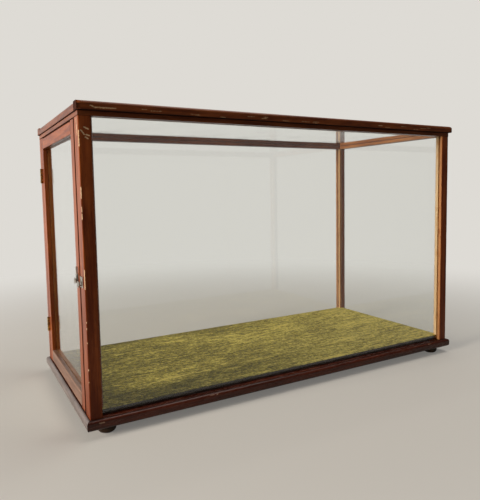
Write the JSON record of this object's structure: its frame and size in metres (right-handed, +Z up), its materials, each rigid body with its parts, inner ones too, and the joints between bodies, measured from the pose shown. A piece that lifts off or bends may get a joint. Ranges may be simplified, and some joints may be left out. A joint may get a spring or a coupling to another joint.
{
  "type": "shop display cabinet",
  "caption": "Glazed counter-top display cabinet with a slender hardwood frame, velvet floor, bun feet and a hinged glazed door with a turning catch at the left end.",
  "frame": {"origin": "on the table under the middle of the cabinet's overall box, which runs from the catch knob on the left to the base moulding on the right", "axes": "+X to the right along the long front, +Y to the back, +Z up; the door is the end at -X"},
  "size_m": [0.7232, 0.331, 0.4515],
  "materials": {
    "mahogany": "worn french polish",
    "dark_wood": "dark stained, turned",
    "deal": "sawn, stained dark",
    "glass": "clear drawn sheet",
    "velvet": "worn crushed pile",
    "brass": "tarnished",
    "steel": "dulled",
    "plated_steel": "nickel plate worn grey"
  },
  "bodies": {
    "case": {"base_board": "mahogany", "base_moulding_back": "mahogany", "base_moulding_front": "mahogany", "base_moulding_left": "mahogany", "base_moulding_right": "mahogany", "catch_keep": "plated_steel", "catch_keep_screws": "plated_steel", "corner_bead_front_left": "mahogany", "corner_bead_front_right": "mahogany", "corner_bead_rear_left": "mahogany", "corner_bead_rear_right": "mahogany", "door_stop": "mahogany", "floor_board": "deal", "floor_velvet": "velvet", "foot_front_left": "dark_wood", "foot_front_right": "dark_wood", "foot_rear_left": "dark_wood", "foot_rear_right": "dark_wood", "glass_back": "glass", "glass_front": "glass", "glass_right": "glass", "glass_top": "glass", "hinge_lower_pin": "brass", "hinge_lower_post_leaf": "brass", "hinge_post_screws": "brass", "hinge_upper_pin": "brass", "hinge_upper_post_leaf": "brass", "post_front_left": "mahogany", "post_front_right": "mahogany", "post_rear_left": "mahogany", "post_rear_right": "mahogany", "post_screws": "steel", "top_rail_back": "mahogany", "top_rail_front": "mahogany", "top_rail_left": "mahogany", "top_rail_right": "mahogany", "top_rim_back": "mahogany", "top_rim_front": "mahogany", "top_rim_left": "mahogany", "top_rim_right": "mahogany"},
    "door": {"door_bead_bottom": "mahogany", "door_bead_closing": "mahogany", "door_bead_hinge": "mahogany", "door_bead_top": "mahogany", "door_rail_bottom": "mahogany", "door_rail_top": "mahogany", "door_stile_closing": "mahogany", "door_stile_hinge": "mahogany", "glass_door": "glass", "hinge_lower_door_leaf": "brass", "hinge_upper_door_leaf": "brass", "hinge_door_screws": "brass", "catch_plate": "plated_steel", "catch_plate_screws": "plated_steel"},
    "catch": {"catch_knob": "plated_steel", "catch_tongue": "plated_steel"}
  },
  "joints": [
    {"name": "door_hinge", "type": "hinge", "parent": "case", "child": "door", "pos_m": [-0.3581, 0.1424, 0.2295], "axis": [0, 0, -1], "range_deg": [0, 170]},
    {"name": "catch_turn", "type": "hinge", "parent": "door", "child": "catch", "pos_m": [-0.3559, -0.122, 0.2125], "axis": [1, 0, 0], "range_deg": [0, 90]}
  ]
}
